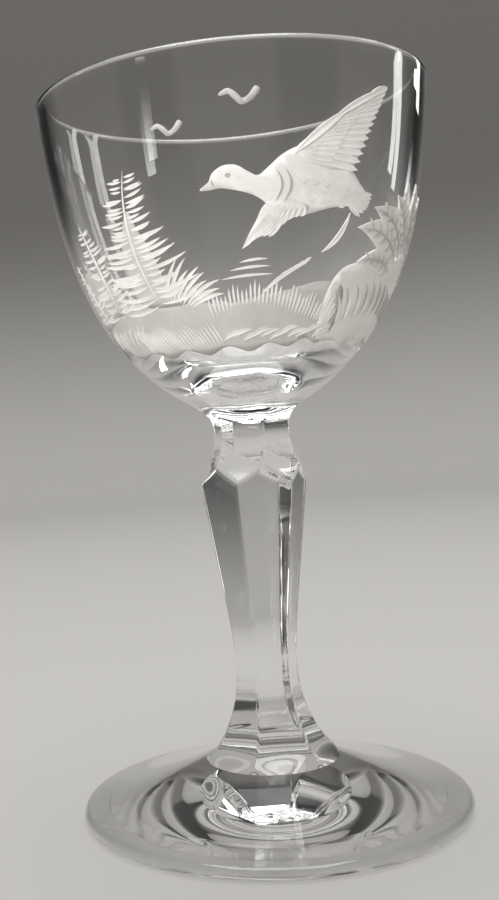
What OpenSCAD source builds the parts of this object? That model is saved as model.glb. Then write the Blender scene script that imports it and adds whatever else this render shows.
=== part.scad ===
// Liqueur glass: a blown bowl, a cut six-sided stem and a round foot, fused end to end.
// Millimetres, +Z up. The origin is the centre of the ring that the foot rests on, and -Y is
// the side that carries the engraved picture.

/* [Bowl] */
// Height of the bowl, from its seam on the stem to the lip
bowl_h = 43.4; // [38:0.2:52]
// Outside diameter at the lip
rim_d = 51.6; // [46:0.2:58]
// Thickness of the wall at the lip
rim_wall = 1.45; // [1.2:0.05:2]
// Lean of the wall at the lip, outward from upright, in degrees
rim_flare = 5.4; // [3:0.2:8]
// Height of the solid glass under the drink, above the seam
bowl_base = 5.5; // [4.5:0.5:7]
// Radius of the hollow curve that joins the bowl to the stem
throat_r = 5; // [4:0.5:6]
// Lean of that curve at the seam, from upright, in degrees
throat_start = 23.6; // [16:0.2:28]
// Lean of that curve where the belly takes over, from upright, in degrees
throat_end = 60.6; // [55:0.2:65]
// Reach of the belly's curve at the bottom, outside
belly_reach = 17.9; // [15:0.1:20]
// Reach of the belly's curve at the lip, outside
wall_reach = 11.4; // [9:0.1:14]
// Reach of the drink's hollow along its floor
floor_reach = 18; // [15:0.5:19]
// Reach of the drink's hollow down from the lip
hollow_reach = 19; // [14:0.5:20]

/* [Stem] */
// Length of the stem, from its seam on the foot to its seam on the bowl
stem_len = 44.8; // [38:0.2:55]
// Turn of the lower sides about the axis, in degrees: where a corner points, from +X
stem_turn = 13; // [0:1:59]
// Width across the sides at the neck, its narrowest place under the bowl
neck_flat = 9.2; // [8.4:0.1:10]
// Distance of that narrowest place below the seam with the bowl
neck_drop = 1.4; // [1:0.1:2]
// Radius of the wheel that cuts the neck's sides
neck_wheel_r = 9; // [8:0.5:10]
// Width across the lower sides at the shoulder, the stem's widest place
shoulder_flat = 12.5; // [11.8:0.1:13.4]
// Distance of the shoulder below the seam with the bowl
shoulder_drop = 8.6; // [7.5:0.1:9.5]
// Width across the lower sides at the waist, their narrowest place
waist_flat = 7.4; // [6.6:0.1:8]
// Height of the waist above the seam with the foot
waist_h = 11.6; // [10.5:0.1:12.5]
// Radius of the long hollow that eases the taper into the waist
taper_wheel_r = 60; // [50:1:70]
// Radius of the wheel that cuts the flare over the foot
flare_wheel_r = 19; // [17:0.5:22]

/* [Foot] */
// Outside diameter of the foot
foot_d = 51.2; // [46:0.2:58]
// Height of the seat that carries the stem
foot_h = 6.8; // [6:0.1:8]
// Thickness of the foot's round edge
foot_edge = 1.8; // [1.4:0.1:2.4]
// Fall of the top beside the stem, in degrees
foot_fall = 23; // [20:0.5:26]
// Fall of the top where it meets the edge, in degrees
foot_edge_fall = 9; // [6:0.5:12]
// Width of the flat ring that the glass rests on
rest_w = 2.6; // [2:0.1:4]
// Depth of the hollow inside that ring
hollow_d = 1.2; // [0.6:0.1:1.6]

/* [Hidden] */
$fn = 96;
curve_steps = 28;
seam_z = foot_h + stem_len;
rim_z = seam_z + bowl_h;
neck_z = seam_z - neck_drop;
shoulder_z = seam_z - shoulder_drop;
waist_z = foot_h + waist_h;
crystal = [0.86, 0.88, 0.88, 0.55];

// Half the width across the sides, at the two seams
seam_flat = neck_flat / 2 + neck_wheel_r - sqrt(pow(neck_wheel_r, 2) - pow(neck_drop, 2));
seat_flat = waist_flat / 2 + flare_wheel_r - sqrt(pow(flare_wheel_r, 2) - pow(waist_h, 2));
// The round glass that meets each seam just holds the stem's six corners
seam_r = seam_flat / cos(30);
seat_r = seat_flat / cos(30);
stem_blank_r = seat_r + 0.5;
stem_clear = 2.5 * stem_blank_r;
// Overrun of each cut past the end of the stem
cut_past = 0.5;

// Points between a and b on a cubic curve, pulled by the vectors at its two ends
function curve(a, pull_a, b, pull_b) = [
    for (i = [1 : curve_steps - 1])
        let (t = i / curve_steps, s = 1 - t)
            s * s * s * a + 3 * s * s * t * (a + pull_a) + 3 * s * t * t * (b + pull_b) + t * t * t * b
];

// Points of an arc about a centre, from one angle to another
function arc(centre, r, from, to, steps) = [
    for (i = [0 : steps])
        let (turn = from + (to - from) * i / steps)
            centre + r * [cos(turn), sin(turn)]
];

function along(length, angle) = length * [cos(angle), sin(angle)];

// Blown bowl: outside curve up to the lip, round lip, then the drink's hollow down to its floor
module bowl() {
    throat_centre = [seam_r, seam_z] + along(throat_r, -throat_start);
    throat = arc(throat_centre, throat_r, 180 - throat_start, 180 - throat_end, 10);
    belly_start = throat[10];
    lip_r = rim_wall / 2;
    lip_centre = [rim_d / 2 - lip_r, rim_z - lip_r];
    lip = arc(lip_centre, lip_r, -rim_flare, 180 - rim_flare, 12);
    lip_lean = 90 - rim_flare;
    outside = curve(belly_start, along(belly_reach, 90 - throat_end), lip[0], -along(wall_reach, lip_lean));
    floor_centre = [0, seam_z + bowl_base];
    hollow = curve(lip[12], -along(hollow_reach, lip_lean), floor_centre, [floor_reach, 0]);
    color(crystal)
        rotate_extrude()
            polygon(concat([[0, seam_z]], throat, outside, lip, hollow, [floor_centre]));
}

// What the wheels take off one flank to leave a lower side: flare, eased waist and straight taper
module lower_flank() {
    flare_centre = [waist_flat / 2 + flare_wheel_r, waist_z];
    taper_centre = [waist_flat / 2 + taper_wheel_r, waist_z];
    shoulder = [shoulder_flat / 2, shoulder_z];
    to_centre = taper_centre - shoulder;
    taper_lean = asin(taper_wheel_r / norm(to_centre)) - atan2(to_centre[1], to_centre[0]) - 90;
    flare_lean = asin((waist_h + cut_past) / flare_wheel_r);
    flare = arc(flare_centre, flare_wheel_r, 180 + flare_lean, 180, 12);
    taper = arc(taper_centre, taper_wheel_r, 180 - taper_lean / 4, 180 - taper_lean, 3);
    crest = shoulder + along(stem_len / 2, 90 - taper_lean);
    polygon(concat(flare, taper, [crest, [stem_clear, crest[1]], [stem_clear, flare[0][1]]]));
}

// What the wheel takes off one flank to leave a side of the neck
module neck_flank() {
    neck_lean = asin((neck_drop + cut_past) / neck_wheel_r);
    neck = arc([neck_flat / 2 + neck_wheel_r, neck_z], neck_wheel_r, 270, 180 - neck_lean, 16);
    polygon(concat(neck, [[stem_clear, neck[16][1]], [stem_clear, neck[0][1]]]));
}

// The same cut, six times round the stem
module six_cuts(turn) {
    for (side = [0 : 5])
        rotate([90, 0, turn + 60 * side])
            linear_extrude(stem_clear, center = true)
                children();
}

// Cut stem: the neck's sides stand over the corners of the lower ones, so they meet in a zigzag
module stem() {
    color(crystal)
        difference() {
            translate([0, 0, foot_h])
                cylinder(h = stem_len, r = stem_blank_r);
            six_cuts(stem_turn + 30)
                lower_flank();
            six_cuts(stem_turn)
                neck_flank();
        }
}

// Foot: flat seat, hollow cone falling to a round edge, resting ring and the hollow inside it
module foot() {
    edge_r = foot_edge / 2;
    edge_centre = [foot_d / 2 - edge_r, edge_r];
    edge = arc(edge_centre, edge_r, 90 - foot_edge_fall, -90, 14);
    seat_edge = [seat_r, foot_h];
    top_reach = (edge[0][0] - seat_r) / 3;
    top = curve(seat_edge, along(top_reach, -foot_fall), edge[0], along(top_reach, 180 - foot_edge_fall));
    ring_r = foot_d / 2 - edge_r - rest_w;
    hollow_r = (pow(ring_r, 2) + pow(hollow_d, 2)) / (2 * hollow_d);
    hollow_half = asin(ring_r / hollow_r);
    hollow = arc([0, hollow_d - hollow_r], hollow_r, 90 - hollow_half, 90, 12);
    color(crystal)
        rotate_extrude()
            polygon(concat([[0, foot_h], seat_edge], top, edge, hollow));
}

bowl();
stem();
foot();
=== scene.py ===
# Liqueur glass of clear crystal: a cut six-sided stem fused between a round foot and a blown bowl
# that carries a wheel-engraved picture. Sizes are millimetres until a mesh is finished.
import math
import random

import bmesh
import bpy
from mathutils import Matrix, Vector


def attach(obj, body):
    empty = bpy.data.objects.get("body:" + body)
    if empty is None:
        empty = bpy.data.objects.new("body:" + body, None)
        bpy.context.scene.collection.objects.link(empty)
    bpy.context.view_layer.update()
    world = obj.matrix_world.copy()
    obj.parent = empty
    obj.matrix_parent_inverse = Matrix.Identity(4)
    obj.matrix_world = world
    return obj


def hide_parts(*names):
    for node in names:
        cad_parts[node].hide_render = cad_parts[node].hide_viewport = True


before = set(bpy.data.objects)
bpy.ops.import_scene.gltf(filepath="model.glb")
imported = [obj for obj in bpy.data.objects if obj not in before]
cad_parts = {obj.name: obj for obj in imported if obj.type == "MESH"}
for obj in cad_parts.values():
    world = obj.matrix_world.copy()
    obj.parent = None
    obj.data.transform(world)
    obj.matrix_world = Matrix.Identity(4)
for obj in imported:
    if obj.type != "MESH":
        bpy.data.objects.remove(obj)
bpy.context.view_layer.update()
mm = 0.001

# Camera: held close to the glass, level with the bottom of its bowl, turned a little to the left
# and tilted slightly, so the glass leans in the picture.
camera_place = Vector((0, -153.43, 53.48)) * mm
camera_turn = math.radians(-5.851)
camera_dip = math.radians(-0.018)
camera_tilt = math.radians(3.943)
ahead = Vector((
    math.sin(camera_turn) * math.cos(camera_dip),
    math.cos(camera_turn) * math.cos(camera_dip),
    -math.sin(camera_dip),
))
level = Vector((math.cos(camera_turn), -math.sin(camera_turn), 0))
down = ahead.cross(level)
picture_right = math.cos(camera_tilt) * level + math.sin(camera_tilt) * down
picture_up = math.sin(camera_tilt) * level - math.cos(camera_tilt) * down
camera_data = bpy.data.cameras.new("photo_camera")
camera_data.lens = 45.59
camera_data.sensor_width = 36
camera_data.shift_x = 0.13
camera_data.shift_y = -0.04
camera_data.clip_start = 0.01
camera = bpy.data.objects.new("photo_camera", camera_data)
camera_turned = Matrix((picture_right, picture_up, -ahead)).transposed().to_4x4()
camera.matrix_world = Matrix.Translation(camera_place) @ camera_turned
bpy.context.scene.collection.objects.link(camera)
bpy.context.scene.camera = camera
bpy.context.scene.view_settings.view_transform = "Standard"

# Stem: drawn from the gather as a solid rod of crystal, then cut on the wheel. Six long hollow
# sides run from the shoulder to the flare and run out round just above the foot. Six short ones
# stand over their corners round the neck, so the two rows meet in a polished zigzag.
foot_h = 6.8
stem_len = 44.8
stem_turn = 13
neck_flat = 9.2
neck_drop = 1.4
neck_wheel = 9
shoulder_flat = 12.5
shoulder_drop = 8.6
waist_flat = 7.4
waist_h = 11.6
taper_wheel = 60
flare_wheel = 19
polished_edge = 0.3
run_out_h = 2.0
around = 240
stem_rows = 180
seam_z = foot_h + stem_len
neck_z = seam_z - neck_drop
shoulder_z = seam_z - shoulder_drop
waist_z = foot_h + waist_h
taper_run = waist_flat / 2 + taper_wheel - shoulder_flat / 2
taper_rise = shoulder_z - waist_z
taper_sight = math.asin(taper_wheel / math.hypot(taper_run, taper_rise))
taper_lean = taper_sight + math.atan2(taper_rise, taper_run) - math.pi / 2
taper_z = waist_z + taper_wheel * math.sin(taper_lean)


def wheel_cut(flat, wheel, offset):
    """Half the width across two sides, at a height offset from where a wheel cuts deepest."""
    return flat / 2 + wheel - math.sqrt(wheel ** 2 - offset ** 2)


seat_r = wheel_cut(waist_flat, flare_wheel, waist_h) / math.cos(math.radians(30))


def soft_least(one, other):
    """The lesser of two reaches, eased over the polished edge where they meet."""
    meeting = max(polished_edge - abs(one - other), 0) / polished_edge
    return min(one, other) - meeting ** 2 * polished_edge / 4


def six_sides(half_flat, turn):
    """Reach from the axis to six flat sides, at a turn in degrees from the middle of one."""
    off_middle = abs((turn + 30) % 60 - 30)
    near_side = half_flat / math.cos(math.radians(off_middle))
    next_side = half_flat / math.cos(math.radians(60 - off_middle))
    return soft_least(near_side, next_side)


def stem_reach(turn, height):
    """Reach from the axis to the face of the stem, at a turn in degrees from +X and a height."""
    if height < waist_z:
        half_flat = wheel_cut(waist_flat, flare_wheel, waist_z - height)
    elif height < taper_z:
        half_flat = wheel_cut(waist_flat, taper_wheel, height - waist_z)
    else:
        half_flat = shoulder_flat / 2 + (height - shoulder_z) * math.tan(taper_lean)
    reach = six_sides(half_flat, turn - stem_turn - 30)
    if height > neck_z - neck_wheel:
        neck_half = wheel_cut(neck_flat, neck_wheel, height - neck_z)
        reach = soft_least(reach, six_sides(neck_half, turn - stem_turn))
    above_seat = min((height - foot_h) / run_out_h, 1)
    return reach + (seat_r - reach) * (1 - above_seat) ** 2


def linear(hex_colour):
    """A linear colour from an sRGB hex value."""
    parts = [int(hex_colour[i:i + 2], 16) / 255 for i in (1, 3, 5)]
    return [c / 12.92 if c <= 0.04045 else ((c + 0.055) / 1.055) ** 2.4 for c in parts] + [1]


def add_node(tree, kind, values, links, **settings):
    """One node with its settings, the values of its sockets and the links into them."""
    node = tree.nodes.new(kind)
    for name, value in settings.items():
        setattr(node, name, value)
    for socket, value in values.items():
        node.inputs[socket].default_value = value
    for socket, source in links.items():
        tree.links.new(source, node.inputs[socket])
    return node


# Lead crystal, drawn and fire-polished: colourless, bright at its edges, with faint waves left
# by the working and a bloom of handling that blurs it a touch here and there. The ring that it
# rests on is worn matt. Lamps shine through it, so its shadow is pale.
crystal_ior = 1.54
working_wave = 9 * mm
wave_depth = 0.04 * mm
bloom_size = 14 * mm
bloom_blur = 0.03
wear_height = 0.06 * mm
wear_blur = 0.35
crystal = bpy.data.materials.new("fire_polished_crystal")
crystal.use_nodes = True
tree = crystal.node_tree
tree.nodes.clear()
place = add_node(tree, "ShaderNodeTexCoord", {}, {}).outputs["Object"]
wave = add_node(tree, "ShaderNodeTexNoise", {"Scale": 1 / working_wave, "Detail": 1}, {"Vector": place})
bump = add_node(
    tree, "ShaderNodeBump", {"Strength": 0.25, "Distance": wave_depth}, {"Height": wave.outputs["Fac"]}
)
bloom = add_node(tree, "ShaderNodeTexNoise", {"Scale": 1 / bloom_size, "Detail": 4}, {"Vector": place})
bloom_rough = add_node(
    tree, "ShaderNodeMapRange",
    {"From Min": 0.45, "From Max": 0.75, "To Min": 0, "To Max": bloom_blur},
    {"Value": bloom.outputs["Fac"]},
)
height = add_node(tree, "ShaderNodeSeparateXYZ", {}, {"Vector": place}).outputs["Z"]
wear = add_node(
    tree, "ShaderNodeMapRange",
    {"From Min": 0, "From Max": wear_height, "To Min": wear_blur, "To Max": 0},
    {"Value": height},
)
rough = add_node(
    tree, "ShaderNodeMath", {}, {0: bloom_rough.outputs["Result"], 1: wear.outputs["Result"]},
    operation="MAXIMUM",
)
glass = add_node(
    tree, "ShaderNodeBsdfPrincipled",
    {"Base Color": linear("#FDFDFC"), "IOR": crystal_ior, "Transmission Weight": 1},
    {"Roughness": rough.outputs["Value"], "Normal": bump.outputs["Normal"]},
)
lamp_light = add_node(tree, "ShaderNodeBsdfTransparent", {"Color": linear("#F5F5F4")}, {})
ray = add_node(tree, "ShaderNodeLightPath", {}, {})
lit = add_node(
    tree, "ShaderNodeMixShader", {},
    {0: ray.outputs["Is Shadow Ray"], 1: glass.outputs["BSDF"], 2: lamp_light.outputs["BSDF"]},
)
lit_all_round = add_node(
    tree, "ShaderNodeMixShader", {},
    {0: ray.outputs["Is Diffuse Ray"], 1: lit.outputs["Shader"], 2: lamp_light.outputs["BSDF"]},
)
add_node(tree, "ShaderNodeOutputMaterial", {}, {"Surface": lit_all_round.outputs["Shader"]})

# Fused joint: two gathers of hot crystal pressed together flow into one, so no face is left
# between them and light goes straight through.
fused = bpy.data.materials.new("fused_crystal_joint")
fused.use_nodes = True
tree = fused.node_tree
tree.nodes.clear()
through = add_node(tree, "ShaderNodeBsdfTransparent", {"Color": linear("#FFFFFF")}, {})
add_node(tree, "ShaderNodeOutputMaterial", {}, {"Surface": through.outputs["BSDF"]})


def finish_piece(name, shape, materials):
    """An object in the scene from a mesh in millimetres, with its materials in order."""
    bmesh.ops.scale(shape, vec=(mm, mm, mm), verts=shape.verts)
    mesh = bpy.data.meshes.new(name)
    shape.to_mesh(mesh)
    shape.free()
    for material in materials:
        mesh.materials.append(material)
    piece = bpy.data.objects.new(name, mesh)
    bpy.context.scene.collection.objects.link(piece)
    return piece


def fuse_face(face):
    """Make a flat end the fused joint, with a crisp border to the face round it."""
    face.material_index = 1
    face.smooth = False
    for edge in face.edges:
        edge.smooth = False


shape = bmesh.new()
rod_turned = Matrix.Rotation(math.radians(stem_turn), 4, "Z")
rod_place = Matrix.Translation((0, 0, foot_h + stem_len / 2)) @ rod_turned
bmesh.ops.create_cone(
    shape, cap_ends=True, segments=around, radius1=waist_flat, radius2=waist_flat, depth=stem_len,
    matrix=rod_place,
)
upright = [edge for edge in shape.edges if abs(edge.verts[0].co.z - edge.verts[1].co.z) > stem_len / 2]
bmesh.ops.subdivide_edges(shape, edges=upright, cuts=stem_rows - 1, use_grid_fill=True)
for vert in shape.verts:
    turn = math.atan2(vert.co.y, vert.co.x)
    reach = stem_reach(math.degrees(turn), vert.co.z)
    vert.co.x = reach * math.cos(turn)
    vert.co.y = reach * math.sin(turn)
for face in shape.faces:
    face.smooth = True
for face in [face for face in shape.faces if len(face.verts) == around]:
    fuse_face(face)
stem = finish_piece("cut_stem", shape, [crystal, fused])
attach(stem, "root")
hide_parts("stem")

# Foot: a gather of crystal pressed into a disc and fused under the stem. Its top falls from the
# seat to a round edge, and its underside is hollowed a little, so it stands on a narrow ring.
foot_d = 51.2
foot_edge = 1.8
foot_fall = 23
foot_edge_fall = 9
rest_w = 2.6
hollow_d = 1.2


def along(length, degrees):
    """A step of a length in an outline, at an angle in degrees from straight outward."""
    return Vector((length * math.cos(math.radians(degrees)), length * math.sin(math.radians(degrees))))


def arc(centre, radius, start, stop, steps):
    """Points of a round stretch of an outline, both ends among them."""
    return [centre + along(radius, start + (stop - start) * i / steps) for i in range(steps + 1)]


def curve(a, pull_a, b, pull_b, steps):
    """Points between two ends of a cubic stretch of an outline, pulled by a vector at each."""
    points = []
    for i in range(1, steps):
        t = i / steps
        s = 1 - t
        pulled = 3 * s * s * t * (a + pull_a) + 3 * s * t * t * (b + pull_b)
        points.append(s ** 3 * a + pulled + t ** 3 * b)
    return points


def spun(outline):
    """A mesh from an outline turned once about the axis, starting at a corner of the stem."""
    shape = bmesh.new()
    start = math.radians(stem_turn)
    points = [shape.verts.new((p.x * math.cos(start), p.x * math.sin(start), p.y)) for p in outline]
    edges = [shape.edges.new(pair) for pair in zip(points, points[1:])]
    bmesh.ops.spin(
        shape, geom=points + edges, cent=(0, 0, 0), axis=(0, 0, 1), angle=2 * math.pi, steps=around,
        use_merge=True,
    )
    bmesh.ops.remove_doubles(shape, verts=shape.verts, dist=0.0005)
    return shape


def close_joint(shape):
    """Close the opening that meets the stem with the fused joint, and round off the rest."""
    opening = [edge for edge in shape.edges if edge.is_boundary]
    joint = bmesh.ops.holes_fill(shape, edges=opening, sides=0)["faces"]
    bmesh.ops.recalc_face_normals(shape, faces=shape.faces)
    for face in shape.faces:
        face.smooth = True
    for face in joint:
        fuse_face(face)


edge_r = foot_edge / 2
edge_centre = Vector((foot_d / 2 - edge_r, edge_r))
edge_arc = arc(edge_centre, edge_r, 90 - foot_edge_fall, -90, 16)
seat_corner = Vector((seat_r, foot_h))
top_pull = (edge_arc[0].x - seat_r) / 3
edge_pull = along(top_pull, 180 - foot_edge_fall)
top = curve(seat_corner, along(top_pull, -foot_fall), edge_arc[0], edge_pull, 40)
ring_r = foot_d / 2 - edge_r - rest_w
hollow_r = (ring_r ** 2 + hollow_d ** 2) / (2 * hollow_d)
hollow_half = math.degrees(math.asin(ring_r / hollow_r))
hollow = arc(Vector((0, hollow_d - hollow_r)), hollow_r, 90 - hollow_half, 90, 16)
shape = spun([seat_corner] + top + edge_arc + hollow)
close_joint(shape)
foot = finish_piece("pressed_foot", shape, [crystal, fused])
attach(foot, "root")
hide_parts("foot")

# Bowl: blown in a mould, sheared at the lip and fire-polished round, with a thick base that is
# fused on the stem. The six sides of the neck run up into its throat and fade out there.
bowl_h = 43.4
rim_d = 51.6
rim_wall = 1.45
rim_flare = 5.4
bowl_base = 5.5
throat_r = 5
throat_start = 23.6
throat_end = 60.6
belly_reach = 17.9
wall_reach = 11.4
floor_reach = 18
drink_reach = 19
throat_blend = 3
seam_r = wheel_cut(neck_flat, neck_wheel, neck_drop) / math.cos(math.radians(30))
rim_z = seam_z + bowl_h
throat_centre = Vector((seam_r, seam_z)) + along(throat_r, -throat_start)
throat = arc(throat_centre, throat_r, 180 - throat_start, 180 - throat_end, 14)
lip_r = rim_wall / 2
lip = arc(Vector((rim_d / 2 - lip_r, rim_z - lip_r)), lip_r, -rim_flare, 180 - rim_flare, 14)
lip_lean = 90 - rim_flare
belly_pull = along(belly_reach, 90 - throat_end)
outside = curve(throat[-1], belly_pull, lip[0], -along(wall_reach, lip_lean), 48)
drink_floor = Vector((0, seam_z + bowl_base))
drink = curve(lip[-1], -along(drink_reach, lip_lean), drink_floor, along(floor_reach, 0), 48)
shape = spun(throat + outside + lip + drink + [drink_floor])
for vert in shape.verts:
    above_seam = vert.co.z - seam_z
    if above_seam < throat_blend:
        turn = math.atan2(vert.co.y, vert.co.x)
        gap = seam_r - stem_reach(math.degrees(turn), seam_z)
        reach = math.hypot(vert.co.x, vert.co.y) - gap * (1 - above_seam / throat_blend) ** 2
        vert.co.x = reach * math.cos(turn)
        vert.co.y = reach * math.sin(turn)
close_joint(shape)

# Wheel-cut crystal: the abrasive leaves a white, sugary face that scatters the light and lets
# a little of it through, cloudy where the wheel dwelt. The grit is drawn at 0.3 mm, coarser than
# it is, so that it shows.
grit = 0.3 * mm
pit_depth = 0.03 * mm
cloud = 3.5 * mm
matt_cut = bpy.data.materials.new("wheel_cut_matt_crystal")
light_ground = bpy.data.materials.new("lightly_ground_crystal")
# The finish for the polished lines is grey and nearly opaque, though polished cuts are clear: its grey
# is painted shade, standing for the darker things seen through them.
shaded_line_glass = bpy.data.materials.new("polished_line_painted_shade")
for material, pale, grey, cloudy in (
    (matt_cut, "#FCFAF6", "#EAE8E2", 0.12),
    (light_ground, "#EBE9E3", "#DEDCD6", 0.35),
    (shaded_line_glass, "#D2D0CB", "#C2C0BB", 0.25),
):
    material.use_nodes = True
    tree = material.node_tree
    tree.nodes.clear()
    place = add_node(tree, "ShaderNodeTexCoord", {}, {}).outputs["Object"]
    sugar = add_node(tree, "ShaderNodeTexNoise", {"Scale": 1 / grit, "Detail": 2}, {"Vector": place})
    clouds = add_node(
        tree, "ShaderNodeTexNoise", {"Scale": 1 / cloud, "Detail": 4, "Roughness": 0.7},
        {"Vector": place},
    )
    tint_share = add_node(
        tree, "ShaderNodeMapRange", {"From Min": 0.35, "From Max": 0.65},
        {"Value": clouds.outputs["Fac"]},
    )
    tint = add_node(
        tree, "ShaderNodeMix", {6: linear(grey), 7: linear(pale)}, {0: tint_share.outputs["Result"]},
        data_type="RGBA",
    )
    pits = add_node(
        tree, "ShaderNodeBump", {"Strength": 0.35, "Distance": pit_depth},
        {"Height": sugar.outputs["Fac"]},
    )
    ground = add_node(
        tree, "ShaderNodeBsdfPrincipled",
        {"Roughness": 0.68, "IOR": 1.5, "Transmission Weight": cloudy, "Specular IOR Level": 0.3},
        {"Base Color": tint.outputs[2], "Normal": pits.outputs["Normal"]},
    )
    add_node(tree, "ShaderNodeOutputMaterial", {}, {"Surface": ground.outputs["BSDF"]})

wall = throat[-1:] + outside + lip[:1]


def wall_at(height, away):
    """The point at a height on the outside of the wall's outline, moved outward by a distance."""
    above = next((i for i, point in enumerate(wall) if point.y >= height), len(wall) - 1)
    low, high = wall[above - 1], wall[above]
    run = (high - low).normalized()
    return low.lerp(high, (height - low.y) / (high.y - low.y)) + Vector((run.y, -run.x)) * away


# Engraving: cut into the outside of the finished wall with small copper wheels, and left matt but
# for a few polished lines, which are drawn in a grey that paints the shade seen through them. Each
# touch leaves a leaf-shaped hollow, and the picture is built from hundreds: wildfowl rising over a
# reedy bank, the traditional picture on a shooting party's glass. It is drawn flat, as millimetres
# across and up the wall, and then laid round the bowl.
drawn_r = 24
cut_depth = 0.1
cut_slope = 0.32
light_depth = 0.02
matt_lift = 0.02
layer_lift = 0.035
touch_lift = 0.01
cut_root = -0.06
bright_cut = 2
light_matt = 3
# Finish of the polished lines, drawn in the grey of painted shade
painted_shade_line = 4
fewest_steps = 7
outline_steps = 5
slice_width = 1.2
pen = random.Random(11)
cuts = bmesh.new()
lift = cuts.verts.layers.float.new("lift")


def leaf(start, end, width, bend=0, layer=1, blunt=1, finish=bright_cut):
    """One touch of the wheel, from start to end: bend bows it to its left, blunt rounds its end."""
    start = Vector(start)
    run = Vector(end) - start
    side = Vector((-run.y, run.x)).normalized()
    rise = matt_lift + layer_lift * layer + pen.uniform(0, touch_lift)
    steps = max(fewest_steps, round(run.length))
    touch = bmesh.ops.create_grid(cuts, x_segments=steps, y_segments=2, size=0.5)["verts"]
    for vert in touch:
        t = vert.co.x + 0.5
        half = width / 2 * max(math.sin(math.pi * t ** blunt), 0) ** (0.9 / blunt)
        middle_line = start + run * t + side * bend * 4 * t * (1 - t)
        point = middle_line + side * half * vert.co.y * 2
        vert[lift] = rise + min(half * cut_slope, cut_depth) * abs(vert.co.y * 2)
        vert.co = (point.x, point.y, cut_root)
    for face in {face for vert in touch for face in vert.link_faces}:
        face.material_index = finish
    bmesh.ops.remove_doubles(cuts, verts=touch, dist=0.002)


def between(a, b, t):
    """The point part of the way from one to another."""
    return Vector(a) + (Vector(b) - Vector(a)) * t


def feather_row(roots, tips, count, width, bend, layer):
    """A row of feathers whose roots and tips are spaced along two lines."""
    for i in range(count):
        t = i / (count - 1)
        root = between(roots[0], roots[1], t)
        tip = between(tips[0], tips[1], t) + Vector((0, 0.5 * math.sin(math.pi * t)))
        leaf(root, tip, width, bend, layer, blunt=1.5)


def matt_shape(points, layer=0, hollow_depth=0.05, finish=bright_cut):
    """An area ground matt inside a smooth outline through the points, hollowed to its middle."""
    points = [Vector(point) for point in points]
    ring = []
    for i, point in enumerate(points):
        past, to, on = points[i - 1], points[(i + 1) % len(points)], points[(i + 2) % len(points)]
        pull, far_pull = (to - past) / 6, (point - on) / 6
        ring += [point] + curve(point, pull, to, far_pull, outline_steps)
    face = cuts.faces.new([cuts.verts.new((point.x, point.y, cut_root)) for point in ring])
    part = [face, *face.edges, *face.verts]
    low = Vector((min(point.x for point in ring), min(point.y for point in ring)))
    high = Vector((max(point.x for point in ring), max(point.y for point in ring)))
    for way in (Vector((1, 0)), Vector((0, 1))):
        slices = math.ceil((high - low).dot(way) / slice_width)
        for i in range(1, slices):
            spot = low + (high - low) * i / slices
            part = bmesh.ops.bisect_plane(
                cuts, geom=part, dist=0.001, plane_co=(spot.x, spot.y, 0), plane_no=(way.x, way.y, 0)
            )["geom"]
    for vert in [piece for piece in part if isinstance(piece, bmesh.types.BMVert)]:
        inward = 0
        if not any(edge.is_boundary for edge in vert.link_edges):
            inward = min(min((vert.co.xy - point).length for point in ring) / slice_width, 2) / 2
        vert[lift] = matt_lift + layer_lift * layer + hollow_depth * (1 - inward)
    for piece in part:
        if isinstance(piece, bmesh.types.BMFace):
            piece.material_index = finish
            piece.smooth = True


# The bird: a plump body with a raised far wing, the near wing pressed down and the neck stretched
# out ahead. Long feathers lie side by side across each wing, and polished lines, in a grey of painted
# shade, ring the breast.
wing_tip = (19.8, 89.6)
matt_shape((
    (-4.0, 78.4), (-2.9, 79.2), (-2.4, 80.1), (-1.2, 80.8), (0.3, 80.8), (1.7, 80.0), (2.8, 79.5),
    (4.0, 80.3), (5.8, 81.7), (8.0, 82.5), (11.0, 82.0), (14.2, 80.1), (16.0, 78.4), (17.4, 77.1),
    (17.7, 76.0), (16.7, 75.4), (15.0, 75.9), (12.0, 75.7), (8.6, 75.0), (5.6, 74.9), (4.2, 75.6),
    (3.3, 76.7), (1.9, 77.5), (0.3, 78.0), (-1.5, 78.4), (-2.8, 78.3),
), layer=1)
matt_shape((
    (7.2, 81.8), (9.4, 83.9), (12.4, 85.9), (15.8, 87.8), (18.8, 89.0), (18.4, 87.3), (17.2, 85.6),
    (16.4, 83.8), (15.6, 82.0), (14.4, 80.2), (11.0, 80.0),
), layer=1)
matt_shape((
    (7.6, 76.5), (5.2, 76.9), (3.4, 76.2), (2.4, 74.6), (1.6, 73.4), (1.0, 72.2), (2.4, 72.6),
    (4.0, 73.3), (5.6, 74.1), (7.4, 74.9), (9.0, 75.7),
), layer=1)
feather_row(((9.6, 80.6), (16.4, 88.0)), ((15.4, 79.9), wing_tip), 13, 0.85, bend=0.2, layer=3)
feather_row(((8.2, 81.2), (12.6, 85.3)), ((12.0, 80.8), (15.4, 86.1)), 10, 0.75, bend=0.15, layer=4)
leaf((7.0, 81.6), (13.8, 86.7), 0.9, bend=0.15, layer=5)
leaf((11.4, 85.2), wing_tip, 0.7, bend=0.3, layer=5)
feather_row(((5.0, 76.4), (6.2, 75.7)), ((0.5, 71.6), (3.9, 72.7)), 6, 0.75, bend=0.12, layer=3)
feather_row(((5.8, 76.2), (8.4, 76.0)), ((4.5, 73.1), (7.8, 74.8)), 5, 0.75, bend=0.12, layer=3)
for i in range(7):
    leaf((13.8, 77.2 - 0.1 * i), (18.2 - 0.05 * i * i, 77.3 - 0.42 * i), 0.62, layer=3, blunt=1.5)
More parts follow.
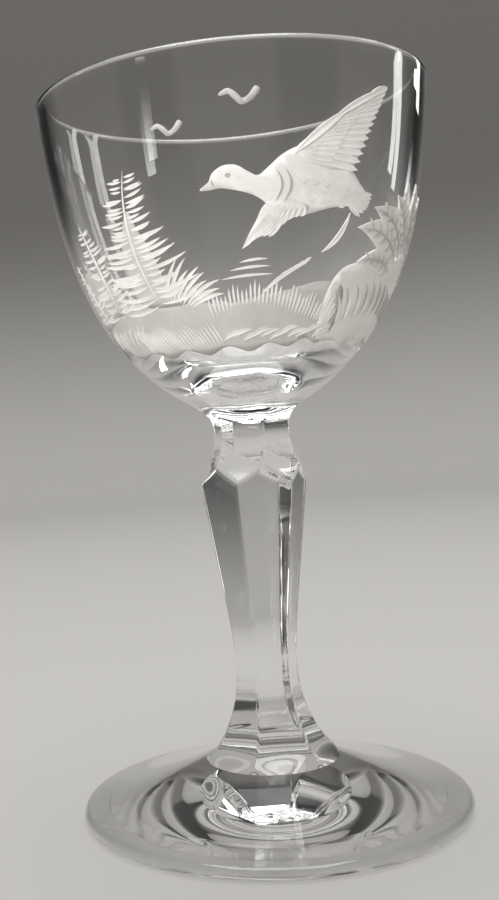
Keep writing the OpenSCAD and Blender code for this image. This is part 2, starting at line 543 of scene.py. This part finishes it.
# A line at the bill, the collar lines and the eye take the grey finish of painted shade that stands for
# polished cuts.
leaf((-2.5, 79.5), (-2.2, 78.6), 0.2, bend=-0.12, layer=3, finish=painted_shade_line)
for across in (3.9, 5.0):
    collar_top = (across + 0.9, 80.2)
    collar_foot = (across + 0.7, 76.5)
    leaf(collar_top, collar_foot, 0.24, bend=0.9, layer=3, finish=painted_shade_line)
leaf((-1.0, 79.7), (-0.3, 79.8), 0.46, layer=3, finish=painted_shade_line)
for row in range(3):
    for i in range(6 - row):
        root = Vector((7.2 + 1.4 * i + 0.5 * row, 79.1 - 1.05 * row - 0.24 * i))
        leaf(root, root + Vector((1.5, -0.4)), 0.5, bend=-0.1, layer=3, blunt=1.6)

# Two more birds far off, each no more than a lightly ground wave
far_bird = (
    (-2.24, 0.72), (-1.28, 1.17), (-0.34, 0.58), (0.19, -0.03), (0.82, 0.25), (1.63, 1.19),
    (2.17, 0.71), (1.24, -0.33), (0.03, -0.73), (-0.82, 0.04), (-1.28, 0.49), (-2.14, 0.38),
)
for across, height, size in ((-7.0, 85.4, 0.83), (1.3, 88.0, 1)):
    bird_wave = [(across + size * x, height + size * y) for x, y in far_bird]
    matt_shape(bird_wave, hollow_depth=light_depth, finish=light_matt)


# A feathery tree on the left, and two lower ones further round the side. Two lightly ground patches
# stand for the shade inside them.
def feathery(foot_point, tip_point, bow, touches, longest):
    """A feathery growth: a bowed rib, and slender touches on both sides that shorten upward."""
    foot_point = Vector(foot_point)
    run = Vector(tip_point) - foot_point
    side = Vector((-run.y, run.x)).normalized()
    leaf(foot_point, tip_point, 0.3, bend=bow, layer=0.8)
    for i in range(touches):
        t = 0.04 + 0.94 * i / touches
        root = foot_point + run * t + side * bow * 4 * t * (1 - t)
        for way in (-1, 1):
            length = longest * (1.25 - t) * pen.uniform(0.55, 1.15)
            start = root + Vector((way * pen.uniform(0, 0.4), pen.uniform(-0.3, 0.3)))
            tip = start + Vector((way * length, length * (0.1 + 0.1 * way + pen.uniform(-0.08, 0.08))))
            leaf(start, tip, min(0.2 + 0.06 * length, 0.46), bend=-0.05 * length * way)


matt_shape((
    (-13.9, 77.4), (-13.0, 75.2), (-12.0, 73.2), (-11.3, 71.2), (-10.7, 69.2), (-9.0, 67.8),
    (-7.2, 67.0), (-8.0, 66.2), (-11.6, 66.0), (-15.4, 66.4), (-16.9, 68.4), (-16.6, 71.6),
    (-15.5, 75.0),
), layer=0.5, hollow_depth=light_depth, finish=light_matt)
matt_shape((
    (-30.4, 64.6), (-30.6, 68.4), (-28.4, 71.0), (-25.6, 71.8), (-22.6, 70.6), (-20.0, 68.4),
    (-18.6, 66.4), (-22.0, 65.8), (-26.0, 65.0),
), layer=0.5, hollow_depth=light_depth, finish=light_matt)
feathery((-12.4, 65.8), (-13.4, 82.0), 1.4, 30, 6.4)
feathery((-21.8, 65.4), (-24.0, 77.2), -0.7, 20, 4.2)
feathery((-27.0, 65.2), (-29.6, 73.0), -0.4, 11, 2.6)

# Reeds fan out beside the tree, low over the bank: slender blades that lean with the wind
for i in range(9):
    root = between((-11.2, 66.6), (-7.6, 65.6), i / 8)
    length = 5.6 + 0.7 * math.sin(2.3 * i)
    leaf(root, root + along(length, 58 - 5.5 * i), 0.5, bend=0.35)

# Bank: lightly ground, wavy above and scalloped below, combed with fine slanting touches
matt_shape((
    (-31.0, 62.4), (-28.0, 64.6), (-23.0, 66.2), (-18.0, 67.0), (-13.0, 66.4), (-8.0, 66.6),
    (-3.0, 65.6), (2.0, 66.2), (7.0, 66.8), (12.0, 67.6), (16.0, 66.8), (16.4, 62.4), (14.0, 60.7),
    (11.0, 61.3), (8.0, 60.4), (4.5, 61.0), (1.0, 60.1), (-3.0, 60.9), (-7.0, 60.0), (-11.0, 60.8),
    (-15.0, 60.0), (-19.0, 60.9), (-23.0, 60.3), (-27.0, 61.1),
), hollow_depth=light_depth, finish=light_matt)
for i in range(24):
    root = Vector((-20.5 + 0.66 * i, 63.6 + 0.25 * math.sin(0.9 * i)))
    leaf(root, root + Vector((1.7, -2.8)), 0.3, bend=0.1, layer=2)
for i in range(34):
    root = Vector((-4.4 + 0.58 * i, 64.2 + 1.2 * math.sin(0.14 * i)))
    blade = Vector((-0.5 + 0.05 * i, 2.3 + 0.5 * math.sin(1.3 * i)))
    leaf(root, root + blade, 0.3, bend=0.08, layer=2)
for i in range(11):
    root = Vector((-3.5 + 1.6 * i, 61.6 + 0.3 * math.sin(2.3 * i)))
    leaf(root, root + Vector((3.4, 0.8)), 0.46, bend=0.3, layer=2)
for i in range(9):
    root = Vector((-29.5 + 1.3 * i, 62.0 + 0.3 * math.sin(1.9 * i)))
    leaf(root, root + Vector((1.3, 2.2)), 0.36, bend=0.12, layer=2)

# Water behind the bank, a bent stalk on it and a bowed stem under the bird's tail
for i, height in enumerate((68.4, 69.3, 70.1)):
    leaf((-2.6 + 1.3 * i, height), (4.6 - 0.4 * i, height + 0.25), 0.28, bend=0.15)
leaf((2.8, 66.3), (8.8, 69.5), 0.42, bend=0.4, layer=2)
for i in range(5):
    root = between((5.4, 68.0), (8.6, 69.4), i / 4)
    leaf(root, root + Vector((1.2, 0.9)), 0.34, bend=0.1)
leaf((11.2, 70.8), (14.9, 75.2), 0.62, bend=-0.6, layer=2)

# A mossy stone on the right, hatched with fine lines in the grey of painted shade, and a clump of
# broad-leaved dock behind it.
# Its leaves fan out, each with a lightly ground rib and veins, and grass ends the bank.
matt_shape((
    (13.6, 61.2), (12.9, 64.2), (13.4, 67.0), (15.2, 69.0), (18.2, 69.8), (21.2, 70.2), (24.0, 71.0),
    (27.0, 70.2), (30.0, 71.0), (33.4, 70.0), (36.0, 67.6), (38.4, 66.2), (40.4, 63.6), (42.6, 61.4),
    (39.6, 60.8), (36.4, 61.5), (33.4, 60.6), (30.4, 61.2), (27.6, 60.3), (24.6, 61.1), (21.4, 60.2),
    (18.0, 60.9),
))


def dock_leaf(root, tip, width, bow):
    """A broad leaf that bows to its left, with a lightly ground rib and veins slanting from it."""
    root = Vector(root)
    run = Vector(tip) - root
    side = Vector((-run.y, run.x)).normalized()
    leaf(root, tip, width, bend=bow, layer=2, blunt=0.8)
    leaf(root, between(root, tip, 0.96), 0.3, bend=bow, layer=5, finish=light_matt)
    for i in range(5):
        t = 0.14 + 0.15 * i
        spot = root + run * t + side * bow * 4 * t * (1 - t)
        for way in (-1, 1):
            vein = run * 0.11 + side * way * width * (0.42 - 0.05 * i)
            leaf(spot, spot + vein, 0.24, layer=5, finish=light_matt)


dock_leaf((27.0, 70.0), (16.4, 73.6), 3.8, -1.2)
dock_leaf((26.0, 68.8), (17.4, 69.8), 2.8, -0.8)
dock_leaf((28.0, 70.8), (19.0, 76.0), 3.9, -1.1)
dock_leaf((29.0, 71.2), (23.8, 77.8), 3.9, -0.7)
dock_leaf((30.0, 71.2), (29.8, 79.8), 3.8, -0.2)
dock_leaf((31.0, 71.0), (35.2, 79.0), 3.8, 0.6)
dock_leaf((32.0, 70.4), (39.4, 77.0), 3.5, 0.9)
dock_leaf((32.6, 69.4), (41.4, 72.4), 3.2, 1.0)
dock_leaf((32.8, 68.2), (41.0, 68.2), 2.6, 0.8)
# Hatching on the stone: grey lines of painted shade, each with a bright touch beside it
for i in range(12):
    root = Vector((14.6 + 2.05 * i, 66.6 + 1.5 * math.sin(0.33 * i) - 0.1 * i))
    line_end = root + Vector((1.0, -4.0 + 0.1 * i))
    leaf(root, line_end, 0.24, bend=0.5, layer=3, finish=painted_shade_line)
    leaf(root + Vector((0.9, -0.6)), root + Vector((1.8, -3.6)), 0.34, bend=0.4, layer=3)
for i in range(10):
    root = Vector((35.0 + 0.95 * i, 61.6 + 0.2 * math.sin(2.0 * i)))
    blade = Vector((0.5 + 0.24 * i, 4.0 - 0.22 * i + 0.8 * math.sin(2.6 * i)))
    leaf(root, root + blade, 0.44, bend=-0.3, layer=3)

bmesh.ops.recalc_face_normals(cuts, faces=cuts.faces)
cut_faces = bmesh.ops.extrude_face_region(cuts, geom=cuts.faces[:])["geom"]
for vert in [part for part in cut_faces if isinstance(part, bmesh.types.BMVert)]:
    vert.co.z = vert[lift]
for vert in cuts.verts:
    turn = vert.co.x / drawn_r
    place_on_wall = wall_at(vert.co.y, vert.co.z)
    vert.co = (place_on_wall.x * math.sin(turn), -place_on_wall.x * math.cos(turn), place_on_wall.y)
bmesh.ops.recalc_face_normals(cuts, faces=cuts.faces)
drawing = bpy.data.meshes.new("drawing")
cuts.to_mesh(drawing)
cuts.free()
shape.from_mesh(drawing)
bpy.data.meshes.remove(drawing)
bowl = finish_piece("blown_bowl", shape, [crystal, fused, matt_cut, light_ground, shaded_line_glass])
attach(bowl, "root")
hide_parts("bowl")

# Studio: a round cove of matt card, pale on its floor and grading to grey up its wall, so that
# clear glass and white engraving both show against it. The glass stands on the floor.
floor_r = 500
floor_z = -0.05
cove_r = 250
wall_top = 900
grey_height = 220
card = bpy.data.materials.new("graded_card")
card.use_nodes = True
tree = card.node_tree
tree.nodes.clear()
place = add_node(tree, "ShaderNodeTexCoord", {}, {}).outputs["Object"]
height = add_node(tree, "ShaderNodeSeparateXYZ", {}, {"Vector": place}).outputs["Z"]
grade = add_node(
    tree, "ShaderNodeMapRange", {"From Min": 0, "From Max": grey_height * mm}, {"Value": height},
    interpolation_type="SMOOTHSTEP",
)
card_tint = add_node(
    tree, "ShaderNodeMix", {6: linear("#D0CECB"), 7: linear("#82807D")}, {0: grade.outputs["Result"]},
    data_type="RGBA",
)
matt = add_node(
    tree, "ShaderNodeBsdfPrincipled", {"Roughness": 0.9, "Specular IOR Level": 0.1},
    {"Base Color": card_tint.outputs[2]},
)
add_node(tree, "ShaderNodeOutputMaterial", {}, {"Surface": matt.outputs["BSDF"]})
cove_bend = arc(Vector((floor_r, floor_z + cove_r)), cove_r, -90, 0, 24)
shape = spun([Vector((0, floor_z))] + cove_bend + [Vector((floor_r + cove_r, wall_top))])
for face in shape.faces:
    face.smooth = True
cove = finish_piece("studio_cove", shape, [card])

# Lamps: a wide soft one overhead lights the card and the glass. Three strips draw bright lines
# down the stem and the bowl and reach nothing else, so the foot stays clear. Two fills whiten the
# engraving from front and back. They reach the glass alone and are not mirrored in it.
lamp_aim = Vector((0, 0, 0.06))


def soft_lamp(name, place, width, height, watts):
    """A flat lamp of a size in metres that faces the middle of the glass."""
    data = bpy.data.lights.new(name, "AREA")
    data.shape = "RECTANGLE"
    data.size = width
    data.size_y = height
    data.energy = watts
    lamp = bpy.data.objects.new(name, data)
    facing = (lamp_aim - Vector(place)).to_track_quat("-Z", "Y")
    lamp.matrix_world = Matrix.Translation(place) @ facing.to_matrix().to_4x4()
    bpy.context.scene.collection.objects.link(lamp)
    return lamp


soft_lamp("overhead", (0, -0.05, 0.85), width=0.60, height=0.70, watts=6.8)
strips = [
    soft_lamp("left_strip", (-0.35, -0.32, 0.17), width=0.05, height=0.32, watts=0.45),
    soft_lamp("right_strip", (0.43, 0.16, 0.26), width=0.04, height=0.46, watts=0.35),
    soft_lamp("back_strip", (0.27, 0.27, 0.24), width=0.04, height=0.44, watts=0.25),
]
fills = [
    soft_lamp("front_fill", (-0.20, -0.60, 0.20), width=0.40, height=0.25, watts=3.0),
    soft_lamp("back_fill", (0.12, 0.60, 0.20), width=0.40, height=0.25, watts=2.4),
]
glass_alone = bpy.data.collections.new("glass_alone")
stem_and_bowl = bpy.data.collections.new("stem_and_bowl")
for piece in (stem, bowl):
    glass_alone.objects.link(piece)
    stem_and_bowl.objects.link(piece)
glass_alone.objects.link(foot)
for lamp in strips:
    lamp.light_linking.receiver_collection = stem_and_bowl
for lamp in fills:
    lamp.light_linking.receiver_collection = glass_alone
for lamp in fills:
    lamp.visible_glossy = False
    lamp.visible_transmission = False
world = bpy.data.worlds.new("studio_room")
bpy.context.scene.world = world
world.use_nodes = True
room = world.node_tree.nodes["Background"]
room.inputs["Color"].default_value = linear("#8E8E90")
room.inputs["Strength"].default_value = 0.6

# Dark cards: four stand round the glass out of the camera's sight, as a photographer sets them,
# and darken its edges. Their sides and feet fade out, so no hard border shows in a cut side.
dark_w = 320
dark_h = 560
dark_away = 420
side_share = 0.2
foot_share = 0.22
dark = bpy.data.materials.new("dark_card")
dark.use_nodes = True
tree = dark.node_tree
tree.nodes.clear()
share = add_node(tree, "ShaderNodeTexCoord", {}, {}).outputs["Generated"]
shares = add_node(tree, "ShaderNodeSeparateXYZ", {}, {"Vector": share})
from_side = add_node(
    tree, "ShaderNodeMath", {1: 0.5}, {0: shares.outputs["X"]}, operation="PINGPONG"
)
side_fade = add_node(
    tree, "ShaderNodeMapRange", {"From Max": side_share}, {"Value": from_side.outputs["Value"]},
    interpolation_type="SMOOTHSTEP",
)
foot_fade = add_node(
    tree, "ShaderNodeMapRange", {"From Max": foot_share}, {"Value": shares.outputs["Z"]},
    interpolation_type="SMOOTHSTEP",
)
fade = add_node(
    tree, "ShaderNodeMath", {}, {0: side_fade.outputs["Result"], 1: foot_fade.outputs["Result"]},
    operation="MULTIPLY",
)
clear = add_node(tree, "ShaderNodeBsdfTransparent", {}, {})
black = add_node(tree, "ShaderNodeBsdfDiffuse", {"Color": linear("#303032")}, {})
faded = add_node(
    tree, "ShaderNodeMixShader", {},
    {0: fade.outputs["Value"], 1: clear.outputs["BSDF"], 2: black.outputs["BSDF"]},
)
add_node(tree, "ShaderNodeOutputMaterial", {}, {"Surface": faded.outputs["Shader"]})
for turn in (45, 135, 225, 315):
    outward = Vector((math.cos(math.radians(turn)), math.sin(math.radians(turn)), 0))
    across = Vector((-outward.y, outward.x, 0))
    shape = bmesh.new()
    bmesh.ops.create_grid(shape, x_segments=1, y_segments=1, size=0.5)
    for vert in shape.verts:
        upward = Vector((0, 0, dark_h * (vert.co.y + 0.5)))
        vert.co = outward * dark_away + across * dark_w * vert.co.x + upward
    dark_card = finish_piece("dark_card_%d" % turn, shape, [dark])
    dark_card.visible_camera = False
    dark_card.visible_diffuse = False
    dark_card.visible_shadow = False

# Light crosses many faces before it leaves clear glass, so a ray may turn often. The flecks of
# light that a glass throws on the floor are left out, because they come out as noise.
light_paths = bpy.context.scene.cycles
light_paths.max_bounces = 40
light_paths.transmission_bounces = 40
light_paths.glossy_bounces = 16
light_paths.transparent_max_bounces = 32
light_paths.caustics_reflective = False
light_paths.caustics_refractive = False
